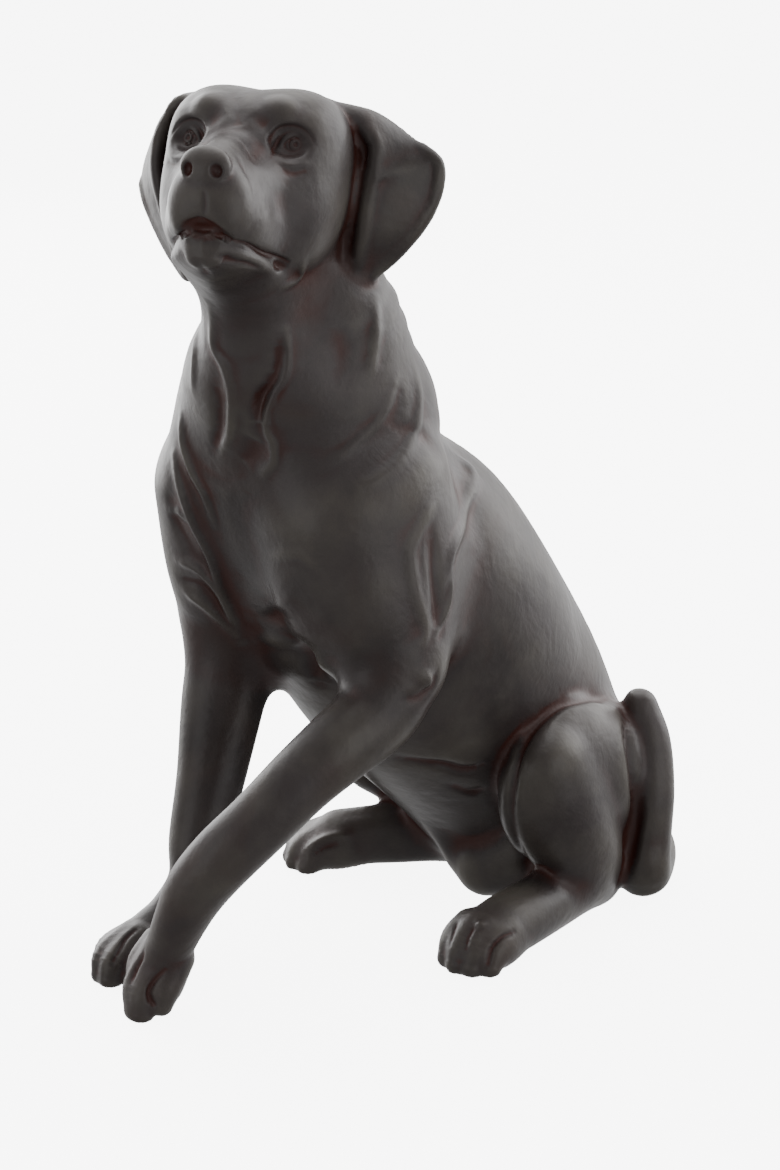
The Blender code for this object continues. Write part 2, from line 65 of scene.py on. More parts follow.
grid = {
    "unit": 0.0010504,  # metres to one grid unit
    "middle": (6.551, -18.405, 2.4),  # the grid point that stands on the origin
}
photo = {
    "azimuth": 45.0,
    "elevation": 18.0,
    "distance": 3200.0,
    "aim": (20.78, -28.70, 275.84),
    "lens": 131.64,
    "sensor": 36.0,
    "width": 780,
    "height": 1170,
}
clay = {
    "voxel": 2.0,
    "triangles": 192000,
    "sole": 2.4,  # the height at which feet and rump are cut flat
    "slices": 32,  # level slices that the form is worked out in, side by side
    "far": 1000.0,  # a distance that stands for out of reach
    "headSoft": 24.0,  # how softly the head runs into the neck
    "slopeStep": 0.4,  # how far apart the slope of the form is read
    "longestMove": 6.0,  # no point moves further in one round
    "farSide": 0.45,  # how strongly the folds of the shown side are repeated on the hidden one
    "twinShift": 6,  # twice the place of the body's middle line
    "evenRounds": 46,  # how far the body's skin is evened out
    "headEvenRounds": 12,
    # between these the finer evening of the head and the paws gives way to the body's
    "throatBand": (84, 116),
    "pawHeights": (55, 85),
    "pawDepths": (0, 40),
    "reliefRounds": ((9, 60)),
}


def toRow(points):
    return (np.asarray(points, float) - grid["middle"]) * grid["unit"]


def toGrid(points):
    return np.asarray(points, float) / grid["unit"] + grid["middle"]


def cameraAxes():
    turn, lift = math.radians(photo["azimuth"]), math.radians(photo["elevation"])
    back = np.array([math.sin(turn) * math.cos(lift), -math.cos(turn) * math.cos(lift), math.sin(lift)])
    right = np.array([math.cos(turn), math.sin(turn), 0.0])
    return right, np.cross(back, right), back


def cameraPlace():
    return np.array(photo["aim"]) + cameraAxes()[2] * photo["distance"]


def sightLine(across, down):
    # from the camera through a pixel of the photograph
    right, up, back = cameraAxes()
    focal = photo["lens"] / photo["sensor"] * photo["height"]
    way = right * (across - photo["width"] / 2) / focal + up * (photo["height"] / 2 - down) / focal - back
    return way / np.linalg.norm(way)


def smoothPath(rows, steps):
    # Catmull-Rom through the rows
    rows = np.array(rows, float)
    padded = np.vstack([2 * rows[0] - rows[1], rows, 2 * rows[-1] - rows[-2]])
    found = []
    for i in range(len(rows) - 1):
        before, start, end, after = padded[i:i + 4]
        for t in np.arange(steps) / steps:
            square = (2 * before - 5 * start + 4 * end - after) * t**2
            cube = (3 * start - before - 3 * end + after) * t**3
            found.append(0.5 * (2 * start + (end - before) * t + square + cube))
    found.append(rows[-1])
    return np.array(found)


def ovalDistance(local, radii):
    scaled = local / radii
    k0 = np.sqrt(np.einsum("ij,ij->i", scaled, scaled))
    scaled /= radii
    k1 = np.sqrt(np.einsum("ij,ij->i", scaled, scaled))
    return k0 * (k0 - 1) / np.maximum(k1, 1e-6)


class Ball:
    # centre, three radii, and a turn about X, Y and Z in degrees

    def __init__(self, centre, radii, turn=(0, 0, 0), soft=12.0, margin=8.0):
        self.margin = margin
        self.centre = np.array(centre, float)
        self.radii = np.array(radii, float)
        a, b, c = [math.radians(angle) for angle in turn]
        rotation = Matrix.Rotation(c, 3, "Z") @ Matrix.Rotation(b, 3, "Y") @ Matrix.Rotation(a, 3, "X")
        self.axes = np.array(rotation)
        self.soft = soft
        self.low, self.high = self.centre - self.radii.max(), self.centre + self.radii.max()

    def distance(self, points):
        return ovalDistance((points - self.centre) @ self.axes, self.radii)


class Limb:
    # sections (x, y, z, half width, half depth), and which way the width lies

    def __init__(self, sections, across=(1, 0, 0), soft=12.0, steps=5, margin=8.0):
        self.margin = margin
        rows = [tuple(s) + tuple(across) if len(s) == 5 else tuple(s) for s in sections]
        self.rows = smoothPath(rows, steps)
        self.soft = soft
        self.spans = [self.span(a, b) for a, b in zip(self.rows[:-1], self.rows[1:])]
        self.joints = [0.0] + [self.joint(i) for i in range(1, len(self.spans))] + [0.0]
        size = self.rows[:, 3:5].max(1)[:, None]
        self.low, self.high = (self.rows[:, :3] - size).min(0), (self.rows[:, :3] + size).max(0)

    def span(self, a, b):
        along = b[:3] - a[:3]
        length = np.linalg.norm(along)
        tangent = along / length
        widthWay = (a[5:8] + b[5:8]) / 2
        widthWay = widthWay - tangent * (widthWay @ tangent)
        widthWay /= np.linalg.norm(widthWay)
        return a, b, length, np.stack([widthWay, np.cross(tangent, widthWay), tangent], axis=1)

    def joint(self, i):
        # how far two spans run into one another where the limb bends
        bend = np.clip(self.spans[i - 1][3][:, 2] @ self.spans[i][3][:, 2], -1, 1)
        return 0.1 + self.rows[i, 3:5].max() * math.tan(math.acos(bend) / 2)

    def distance(self, points):
        nearest = np.full(len(points), clay["far"])
        for i, (a, b, length, axes) in enumerate(self.spans):
            size = max(a[3:5].max(), b[3:5].max()) + self.soft + self.margin
            low, high = np.minimum(a[:3], b[:3]) - size, np.maximum(a[:3], b[:3]) + size
            close = np.flatnonzero(np.all((points > low) & (points < high), axis=1))
            local = (points[close] - a[:3]) @ axes
            along = np.clip(local[:, 2], -self.joints[i], length + self.joints[i + 1])
            radii = np.maximum(a[3:5] + (b[3:5] - a[3:5]) * (along / length)[:, None], 0.2)
            local[:, 2] -= along
            # only the two ends of the limb are rounded off
            if i > 0:
                local[:, 2] = np.where(local[:, 2] < 0, local[:, 2] * 6, local[:, 2])
            if i < len(self.spans) - 1:
                local[:, 2] = np.where(local[:, 2] > 0, local[:, 2] * 6, local[:, 2])
            radii = np.concatenate([radii, radii.min(1)[:, None]], axis=1)
            nearest[close] = np.minimum(nearest[close], ovalDistance(local, radii))
        return nearest


def softUnion(first, second, soft):
    # two masses run together over a band as wide as soft
    share = np.clip(soft - np.abs(first - second), 0, None) / soft
    return np.minimum(first, second) - share**2 * soft / 4


def closeTo(shape, points, margin):
    low, high = shape.low - margin, shape.high + margin
    if np.any(points.min(0) > high) or np.any(points.max(0) < low):
        return ()
    return np.flatnonzero(np.all((points > low) & (points < high), axis=1))


def blend(shapes, points, field=None):
    field = np.full(len(points), clay["far"]) if field is None else field
    for shape in shapes:
        close = closeTo(shape, points, shape.soft + shape.margin)
        if len(close):
            field[close] = softUnion(field[close], shape.distance(points[close]), shape.soft)
    return field


def hollow(shapes, points, field):
    # takes the shapes out of the form
    for shape in shapes:
        close = closeTo(shape, points, shape.soft + shape.margin)
        if len(close):
            field[close] = -softUnion(-field[close], shape.distance(points[close]), shape.soft)
    return field


# each mass of the body is a row of sections (x, y, z, half width, half depth), or a centre, radii and a turn
trunk = {
    "back and belly": [(-4, -84, 398, 76, 72), (0, -60, 346, 84, 89), (4, -22, 288, 101, 111),
                       (3, 26, 224, 104, 114), (0, 90, 150, 96, 105), (0, 136, 84, 90, 92)],
    "neck": [(-5, -90, 392, 84, 80), (4, -102, 444, 89, 86), (8, -108, 494, 71, 72),
             (9, -132, 552, 42, 47), (18, -144, 595, 44, 48)],
    "breast": [(0, -118, 430, 58, 50), (4, -116, 380, 54, 54), (6, -108, 335, 48, 54), (6, -94, 290, 42, 48),
               (10, -82, 262, 34, 40)],
    "beside the breast": [(44, -130, 402, 32, 38), (49, -130, 352, 30, 38), (51, -126, 300, 27, 36),
                          (60, -116, 262, 17, 25)],
    "behind the arm": [(80, -84, 380, 32, 44), (90, -76, 324, 30, 42), (96, -78, 270, 20, 32)],
    "withers": ((0, -60, 422), (70, 60, 42)),
    "throat": [(34, -190, 545, 24, 24), (24, -172, 508, 36, 32), (12, -150, 468, 46, 42)],
    "sheath": [(0, -4, 120, 16, 14), (0, 30, 92, 15, 15), (4, 50, 62, 15, 15), (14, 62, 36, 18, 18)],
    "groin": [(34, 66, 30, 26, 26), (60, 80, 40, 30, 34)],
}
forelegs = {
    "left arm": [(78, -124, 362, 36, 46), (90, -116, 306, 35, 43), (99, -105, 252, 28, 33)],
    "right arm": [(-69, -122, 358, 36, 44), (-70, -116, 300, 34, 40), (-65, -102, 245, 31, 38)],
    "left foreleg": [(104, -102, 244, 27, 31), (106, -124, 222, 27, 31), (103, -164, 203, 26, 28),
                     (95, -194, 183, 24, 26), (82, -223, 155, 23, 25), (67, -245, 130, 23, 25),
                     (52, -256, 106, 22, 24), (39, -260, 80, 19, 21), (26, -261, 54, 17, 18)],
    "right foreleg": [(-66, -104, 242, 31, 38), (-59, -126, 190, 30, 33), (-50, -148, 136, 25, 27),
                      (-46, -165, 92, 22, 23), (-39, -176, 64, 19, 21), (-42, -196, 42, 18, 18),
                      (-47, -214, 30, 19, 16)],
}
hindquarters = {
    "left haunch": ((99, 80, 112), (35, 68, 66), (0, 0, 6)),
    "right haunch": ((-98, 98, 108), (34, 62, 64), (0, 0, -6)),
    "rump": [(84, 120, 100, 46, 62), (66, 160, 76, 46, 60)],
    "left shin": [(114, 46, 140, 24, 30), (118, 62, 96, 26, 36), (112, 92, 52, 26, 34),
                  (100, 118, 26, 19, 24)],
    "right shin": [(-104, 86, 130, 24, 30), (-98, 94, 92, 26, 32), (-76, 106, 54, 26, 32),
                   (-48, 108, 28, 20, 24)],
    "left foot": [(98, 118, 22, 19, 20), (108, 66, 24, 23, 23), (119, 4, 24, 25, 24),
                  (124, -30, 22, 26, 21)],
    "right foot": [(-42, 102, 24, 20, 22), (-70, 65, 26, 21, 24), (-98, 34, 24, 22, 22)],
    "tail": [(0, 205, 70, 28, 28), (14, 232, 36, 25, 25), (54, 218, 22, 22, 22), (92, 188, 22, 22, 22),
             (117, 154, 24, 22, 22), (119, 153, 54, 21, 20), (119, 156, 90, 20.5, 20),
             (113, 161, 126, 18, 18), (103, 162, 152, 14.5, 15)],
}
paws = {
    # each toe runs from its knuckle to its tip
    "left fore": [((5, -254, 50), (0, -264, 35), (3, -272, 21)),
                  ((12, -260, 46), (10, -277, 25), (14, -284, 8)),
                  ((22, -261, 44), (20, -279, 23), (21, -284, 7)),
                  ((30, -255, 44), (31, -268, 27), (31, -274, 14))],
    "right fore": [((-61, -220, 25), (-65, -238, 18), (-64, -245, 8)),
                   ((-53, -227, 29), (-55, -249, 19), (-54, -256, 7)),
                   ((-43, -229, 30), (-43, -251, 19), (-43, -258, 7)),
                   ((-32, -221, 28), (-31, -239, 18), (-30, -246, 8))],
    "left fore pad": ((19, -263, 30), (18, 18, 24)),
    "right fore pad": ((-48, -228, 12), (21, 22, 13)),
    "left hind pad": ((122, -30, 16), (27, 32, 18), (0, 0, 14)),
    "right hind pad": ((-105, 27, 15), (25, 32, 17), (0, 0, -34)),
    # middle of the paw, the way it points in degrees, and its size
    "left hind": ((124, -42, 17), 14, 1.06),
    "right hind": ((-112, 19, 15), -34, 1.05),
    "toe": ((11, 12), (10.5, 12), (8.5, 9)),  # half width and half depth at knuckle, middle and tip
    "flatToes": ((-17, -7), (-6, 0), (6, 0), (17, -7)),  # how far aside and forward each hind toe lies
}


def mirrored(sections):
    return [(-x, *rest) for x, *rest in sections]


def toeLimbs(toes):
    across = np.array(toes[-1][0], float) - np.array(toes[0][0], float)
    sizes = paws["toe"]
    return [Limb([(*place, *size) for place, size in zip(toe, sizes)], tuple(across), soft=5) for toe in toes]


def flatToes(middle, heading, size):
    # four toes that lie forward on the ground, the inner two furthest
    centre = np.array(middle, float)
    turn = math.radians(heading)
    forward = np.array([math.sin(turn), -math.cos(turn), 0.0]) * size
    left = np.array([math.cos(turn), math.sin(turn), 0.0]) * size
    up = np.array([0.0, 0.0, size])
    toes = []
    for side, reach in paws["flatToes"]:
        toes.append((centre + left * side * 0.9 + forward * (reach - 10) + up * 9,
                     centre + left * side + forward * (reach + 6) + up * 3,
                     centre + left * side + forward * (reach + 15) - up * 8))
    return toes


def bodyMasses():
    masses = [
        Limb(trunk["back and belly"]),
        Limb(trunk["neck"], soft=40),
        Limb(trunk["breast"], soft=30),
        Limb(trunk["beside the breast"], soft=30),
        Limb(mirrored(trunk["beside the breast"]), soft=30),
        Limb(trunk["behind the arm"], soft=30),
        Limb(mirrored(trunk["behind the arm"]), soft=30),
        Limb(trunk["throat"], soft=30),
        Ball(*trunk["withers"], soft=26),
        Limb(trunk["sheath"], soft=10),
        Limb(trunk["groin"], soft=8),
        Limb(forelegs["left arm"], soft=40),
        Limb(forelegs["right arm"], soft=40),
        Limb(forelegs["left foreleg"], soft=20),
        Limb(forelegs["right foreleg"], soft=20),
        Ball(*hindquarters["left haunch"], soft=6),
        Ball(*hindquarters["right haunch"], soft=6),
        Limb(hindquarters["rump"], soft=16),
        Limb(mirrored(hindquarters["rump"]), soft=16),
        Limb(hindquarters["left shin"], soft=10),
        Limb(hindquarters["right shin"], soft=10),
        Limb(hindquarters["left foot"], soft=14),
        Limb(hindquarters["right foot"], soft=14),
        Ball(*paws["left fore pad"], soft=12),
        Ball(*paws["right fore pad"], soft=8),
        Ball(*paws["left hind pad"], soft=10),
        Ball(*paws["right hind pad"], soft=10),
    ]
    masses += toeLimbs(paws["left fore"]) + toeLimbs(paws["right fore"])
    masses += toeLimbs(flatToes(*paws["left hind"])) + toeLimbs(flatToes(*paws["right hind"]))
    masses.append(Limb(hindquarters["tail"], across=(0.5, 0.5, 0.7), soft=3))
    return masses


# the head has axes of its own: left, forward and up, from between the eyes
head = {
    "yaw": 28.0,
    "pitch": 25.0,
    "centre": (25.0, -178.5, 637.5),
    "muzzleLength": 75.0,
    "muzzleDrift": 4.5,
    "muzzle": [(0, -26, -34, 36, 40), (0, 10, -44, 35, 38), (0, 42, -50, 32, 33), (0, 60, -53, 28, 28)],
    "bridge": [(0, -6, -10, 15, 12), (0, 20, -14, 14, 12), (0, 46, -22, 13, 12), (0, 74, -35, 14, 12)],
    "lip": [(20, -44, -58, 9, 14), (28, -22, -67, 10, 16), (30, 10, -68, 10, 16), (25, 40, -68, 11, 16),
            (13, 65, -66, 12, 17)],
    "lipEdge": [(0, 79, -76, 5, 3.2), (8, 76, -79, 5, 3.2), (14, 71, -81.5, 5, 2.4), (19, 64, -83.5, 4, 1.2)],
    "lowerLip": [(0, 65, -86.5, 4.5, 5.5), (10, 61.5, -87, 4.5, 5.5), (21, 45, -89.5, 4.5, 5.5),
                 (29, 24, -89.5, 4.5, 5), (31, 8, -89, 4, 4.5), (30, -6, -89, 3, 3.5)],
    "jaw": [(0, -60, -70, 40, 36), (0, -16, -84, 37, 24), (0, 15, -90, 32, 15.5), (0, 42, -93, 24, 12),
            (0, 58, -94, 14, 10)],
    "chin": [(0, -40, -84, 22, 24), (0, 10, -96, 15, 13), (0, 36, -96, 10, 9)],
    # centre, radii and turn
    "skull": ((0, -50, 3), (56, 72, 42)),
    "crown": ((30, -42, 17), (32, 44, 29)),
    "inner brow": ((25, 0, 20.5), (13, 12, 11)),
    "outer brow": ((39, -13, 15), (12, 12, 9)),
    "cheek": ((40, -38, -25), (21, 48, 40)),
    "muzzle root": ((24, 0, -38), (13, 34, 16)),
    "jowl": ((36, -30, -52), (17, 30, 30)),
    "nose": ((0, 82.5, -37), (18, 10.5, 14)),
    "ear root": ((64, -80, 2), (18, 16, 42)),
    "nostril": ((10.2, 93, -42), (4.4, 9, 5.6), (0, 0, 8)),
    "nostrilSlit": [(12, 93, -45, 2.4, 2.4), (16, 89.5, -48.5, 1.9, 1.9), (19.5, 86, -50.5, 1.3, 1.3)],
    "eye socket": ((36.8, 9, -1), (12.8, 7.5, 9.8), (0, 0, -28)),
    "mouth": ((0, 80, -79), (12, 11, 4.8)),
    "mouth corner": ((39, -5, -86), (7, 9, 5)),
    "mouth shade": ((0, 72, -79), (14, 18, 6)),  # where painted shade darkens the inside of the mouth; used for colour alone
}
eyes = {
    "centre": (35.5, -5.5, -1.5),
    "ball": 8.9,
    "facing": (0.50, 0.86, 0.05),
    "outward": (0.85, -0.50, 0.14),
    # how far outward, up and forward of the eyeball's centre each lid runs, and its radius
    "upperLid": [(-13, -4.8, 4.2, 1.2), (-9, 2.8, 6.6, 1.7), (-2, 7.2, 7.2, 2.0), (5, 6.0, 6.0, 1.9),
                 (10.6, -1.6, 2.4, 1.4)],
    "lowerLid": [(-13, -4.8, 4.2, 1.2), (-7.4, -8.0, 6.2, 1.5), (0, -9.2, 6.6, 1.8), (6.4, -6.8, 5.2, 1.7),
                 (10.6, -1.6, 2.4, 1.4)],
    "irisRadius": 4.7,
    "irisGroove": 0.8,
    "pupil": (2.4, 2.4, 2.6),
}
ears = {
    "half": 4.52,  # half the thickness of the flap
    "edge": 0.6,  # how much thicker the rim is
    "left": [(42, -50, 35, 9, 4.0, -0.20, -0.50, 0.85), (60, -58, 34, 10, 3.5, -0.10, -0.60, 0.80),
             (72, -66, 31, 14, 2.5, 0.05, -0.71, 0.70), (82, -72, 23.5, 18, 1.5, 0.33, -0.77, 0.55),
             (90.5, -77, 12, 24.5, 0.5, 0.62, -0.69, 0.38), (96, -80, 2, 30, 0, 0.72, -0.58, 0.38),
             (94.5, -84, -16.5, 30.5, 0, 0.74, -0.58, 0.33), (88, -89, -37.5, 25.5, 0, 0.76, -0.59, 0.28),
             (77, -95, -57.5, 17, 0, 0.76, -0.64, 0.15), (69, -97.5, -69.5, 9, 0, 0.68, -0.74, 0)],
    "right": [(-46, -50, 36, 18, 4.0, -0.20, -1.0, 0), (-66, -59, 34, 20, 2.0, -0.35, -0.93, 0),
              (-83, -69, 21, 21, 1.0, -0.42, -0.90, 0), (-91, -76, 4, 23, 0, -0.46, -0.89, 0),
              (-93, -83, -15, 25, 0, -0.52, -0.85, 0), (-87, -90, -35, 23, 0, -0.52, -0.85, 0),
              (-75, -98, -60, 16, 0, -0.50, -0.86, 0), (-63, -103, -78, 8, 0, -0.46, -0.88, 0)],
}


roundAcross = (0.1, 0.3, 0.9)  # the way across a round limb, where any will do


def headAxes():
    yaw, pitch = math.radians(head["yaw"]), math.radians(head["pitch"])
    forward = np.array([math.sin(yaw) * math.cos(pitch), -math.cos(yaw) * math.cos(pitch), math.sin(pitch)])
    left = np.array([math.cos(yaw), math.sin(yaw), 0.0])
    return np.stack([left, forward, np.cross(forward, left)], axis=1)


def headBall(name, soft):
    return Ball(*head[name], soft=soft, margin=16.0)


def headLimb(name, soft):
    return Limb(head[name], soft=soft, steps=9, margin=16.0)


def headMasses():
    return [
        headBall("skull", 1),
        headBall("crown", 14),
        headBall("inner brow", 7),
        headBall("outer brow", 7),
        headBall("cheek", 26),
        headLimb("muzzle", 22),
        headBall("muzzle root", 18),
        headBall("jowl", 26),
        headLimb("bridge", 10),
        headLimb("lip", 15),
        headBall("nose", 4),
        headLimb("jaw", 3),
        headLimb("chin", 12),
        headLimb("lowerLip", 5),
        headBall("ear root", 10),
    ]


def headHollows():
    return [
        headBall("nostril", 2),
        Limb(head["nostrilSlit"], soft=1.5),
        headBall("eye socket", 8),
        headBall("mouth", 2),
        headLimb("lipEdge", 2),
        headBall("mouth corner", 3),
    ]


def eyeAxes():
    forward = np.array(eyes["facing"]) / np.linalg.norm(eyes["facing"])
    out = np.array(eyes["outward"]) - forward * (np.array(eyes["outward"]) @ forward)
    out /= np.linalg.norm(out)
    up = np.cross(out, forward)
    return np.stack([out, up * np.sign(up[2]), forward])


def eyeMasses():
    found = [Ball(eyes["centre"], [eyes["ball"]] * 3, soft=0.8)]
    for lid in ("upperLid", "lowerLid"):
        rows = []
        for *place, radius in eyes[lid]:
            rows.append((*(np.array(place) @ eyeAxes() + eyes["centre"]), radius, radius))
        found.append(Limb(rows, roundAcross, soft=1.6, steps=8))
    return found


def irisHollows():
    # the ring round the iris and the pupil's dimple
    axes, ball, radius = eyeAxes(), eyes["ball"], eyes["irisRadius"]
    depth, groove = math.sqrt(ball**2 - radius**2), eyes["irisGroove"]
    ring = [(radius * math.cos(t), radius * math.sin(t), depth) for t in np.linspace(0, 2 * math.pi, 13)]
    path = np.array(ring) @ axes + eyes["centre"]
    pupil = np.array([0, 0, ball + 0.6]) @ axes + eyes["centre"]
    return [
        Limb([(*point, groove, groove) for point in path], roundAcross, soft=0.8, steps=3),
        Ball(pupil, eyes["pupil"], soft=0.8),
    ]


def earMasses():
    masses = []
    for side in ("left", "right"):
        ear = [(x, y, z, wide, ears["half"] + thick, *way) for x, y, z, wide, thick, *way in ears[side]]
        masses.append(Limb(ear, soft=5, steps=5))
        masses.append(earRim(ear, ears["half"] + ears["edge"]))
    return masses


def earRim(ear, radius):
    # the rounded edge, down the front of the flap, round its tip and up the back
    ear = smoothPath(ear[2:], 2)
    centres, reach = ear[:, :3], ear[:, 3:4] - 0.8 * radius
    out = ear[:, 5:8] / np.linalg.norm(ear[:, 5:8], axis=1)[:, None]
    path = np.vstack([centres - out * reach, (centres + out * reach)[:3:-1]])
    return Limb([(*point, radius, radius) for point in path], roundAcross, soft=4, steps=4)


def muzzleDrift(forward):
    # the end of the muzzle sits a little to the left of the skull's middle
    share = np.clip(forward / head["muzzleLength"], 0, 1)
    return head["muzzleDrift"] * share**2 * (3 - 2 * share)


masses = {
    "body": bodyMasses(),
    "head": headMasses(),
    "hollows": headHollows(),
    "eyes": eyeMasses(),
    "irises": irisHollows(),
    "ears": earMasses(),
}


def formSlice(points):
    placed = (points - head["centre"]) @ headAxes()
    folded = placed.copy()
    folded[:, 0] = np.abs(folded[:, 0] - muzzleDrift(folded[:, 1]))
    face = blend(masses["head"], folded)
    face = hollow(masses["hollows"], folded, face)
    face = blend(masses["eyes"], folded, face)
    face = hollow(masses["irises"], folded, face)
    skin = softUnion(blend(masses["body"], points), face, clay["headSoft"])
    return blend(masses["ears"], placed, skin)


def formAt(points):
    # how far each point is outside the figure; level slices, side by side
    order = np.argsort(points[:, 2])
    slices = np.array_split(order, clay["slices"])
    found = np.empty(len(points))
    with ThreadPoolExecutor() as pool:
        for rows, values in zip(slices, pool.map(lambda rows: formSlice(points[rows]), slices)):
            found[rows] = values
    return found


def readPoints(mesh):
    flat = np.empty(len(mesh.vertices) * 3, np.float32)
    mesh.vertices.foreach_get("co", flat)
    return flat.reshape(-1, 3).astype(float)


def writePoints(mesh, points):
    mesh.vertices.foreach_set("co", points.astype(np.float32).ravel())
    mesh.update()


def readNormals(mesh):
    flat = np.empty(len(mesh.vertices) * 3, np.float32)
    mesh.vertices.foreach_get("normal", flat)
    return flat.reshape(-1, 3).astype(float)


def copySolid(node, name):
    bpy.ops.object.select_all(action="DESELECT")
    solid = frame["nodes"][node]
    solid.select_set(True)
    bpy.context.view_layer.objects.active = solid
    bpy.ops.object.duplicate()
    piece = bpy.context.view_layer.objects.active
    piece.name = name
    piece.data.name = name
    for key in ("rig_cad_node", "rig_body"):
        if key in piece:
            del piece[key]
    piece.parent = None
    bpy.ops.object.mode_set(mode="EDIT")
    bpy.ops.mesh.select_all(action="SELECT")
    bpy.ops.mesh.remove_doubles(threshold=0.00001)
    bpy.ops.mesh.normals_make_consistent(inside=False)
    bpy.ops.object.mode_set(mode="OBJECT")
    return piece


def applyModifier(piece, kind, name, **values):
    modifier = piece.modifiers.new(name, kind)
    for key, value in values.items():
        setattr(modifier, key, value)
    bpy.ops.object.modifier_apply(modifier=name)


def headPlaces(points):
    # on the head's axes, with both halves folded onto the left
    placed = (points - head["centre"]) @ headAxes()
    placed[:, 0] = np.abs(placed[:, 0] - muzzleDrift(placed[:, 1]))
    return placed


def ease(value, low, high):
    share = np.clip((value - low) / (high - low), 0, 1)
    return share**2 * (3 - 2 * share)


def settle(piece, rounds, only=None):
    # every point moves down the slope of the form onto its surface
    whole = toGrid(readPoints(piece.data))
    rows = np.arange(len(whole)) if only is None else np.flatnonzero(only(whole))
    if not len(rows):
        return
    points = whole[rows]
    step = clay["slopeStep"]
    for _ in range(rounds):
        value = formAt(points)
        slope = np.empty_like(points)
        for axis in range(3):
            shifted = points.copy()
            shifted[:, axis] += step
            slope[:, axis] = (formAt(shifted) - value) / step
        move = slope * (value / np.maximum((slope**2).sum(1), 0.15))[:, None]
        length = np.linalg.norm(move, axis=1)[:, None]
        points -= move * np.minimum(1.0, clay["longestMove"] / np.maximum(length, 1e-9))
    whole[rows] = points
    whole[:, 2] = np.maximum(whole[:, 2], clay["sole"])
    writePoints(piece.data, toRow(whole))


def evened(piece, points, rounds):
    # smoothed twice over, so that the form doesn't shrink
    found = np.zeros_like(points)
    rest = points
    for _ in range(2):
        writePoints(piece.data, rest)
        applyModifier(piece, "SMOOTH", "even", factor=0.5, iterations=rounds)
        smooth = readPoints(piece.data)
        found += smooth
        rest = rest - smooth
    return found


def evenSkin(piece):
    rough = readPoints(piece.data)
    body = evened(piece, rough, clay["evenRounds"])
    face = evened(piece, rough, clay["headEvenRounds"])
    places = toGrid(rough)
    placed = headPlaces(places)
    aboveThroat = 1 - ease(-placed[:, 2] - 0.6 * placed[:, 1], *clay["throatBand"])
    inPaws = (1 - ease(places[:, 2], *clay["pawHeights"])) * (1 - ease(places[:, 1], *clay["pawDepths"]))
    points = body + (face - body) * np.maximum(aboveThroat, inPaws)[:, None]
    flat = places[:, 2] < clay["sole"] + 0.01
    points[flat, 2] = rough[flat, 2]
    writePoints(piece.data, points)


# where the mesh is refined: a box on the head's axes, round each eye, and the paws by height and depth
fine = {
    "face": ((-1, -24, -112), (56, 200, 30)),
    "eyeShift": (2, 4, 0),
    "eyeReach": 17,
    "pawTop": 46,
    "pawBack": 10,
}


def faceFront(points):
    low, high = fine["face"]
    placed = headPlaces(points)
    return np.all((placed > low) & (placed < high), axis=1)


def eyeSpot(points):
    gaps = headPlaces(points) - np.array(eyes["centre"]) - fine["eyeShift"]
    return np.linalg.norm(gaps, axis=1) < fine["eyeReach"]


def pawSpot(points):
    height = points[:, 2]
    return (height < fine["pawTop"]) & (height > clay["sole"] + 1) & (points[:, 1] < fine["pawBack"])


def refine(piece, spot):
    # the chosen faces are cut in four
    mesh = piece.data
    flat = np.empty(len(mesh.polygons) * 3, np.float32)
    mesh.polygons.foreach_get("center", flat)
    chosen = spot(toGrid(flat.reshape(-1, 3)))
    bpy.ops.object.mode_set(mode="EDIT")
    bpy.ops.mesh.select_mode(type="FACE")
    bpy.ops.mesh.select_all(action="DESELECT")
    bpy.ops.object.mode_set(mode="OBJECT")
    mesh.polygons.foreach_set("select", chosen)
    bpy.ops.object.mode_set(mode="EDIT")
    bpy.ops.mesh.subdivide(number_cuts=1, smoothness=0)
    bpy.ops.object.mode_set(mode="OBJECT")


dog = copySolid("seated_dog", "retriever_casting")
applyModifier(dog, "REMESH", "clay", mode="VOXEL", voxel_size=2 * clay["voxel"] * grid["unit"])
settle(dog, 2)
applyModifier(dog, "REMESH", "fineClay", mode="VOXEL", voxel_size=clay["voxel"] * grid["unit"])
settle(dog, 1)
evenSkin(dog)
print("the skin is settled:", len(dog.data.vertices), "points")
for spot in (faceFront, pawSpot, eyeSpot):
    refine(dog, spot)
settle(dog, 2, faceFront)
settle(dog, 1, pawSpot)
print("face and paws are refined:", len(dog.data.vertices), "points")

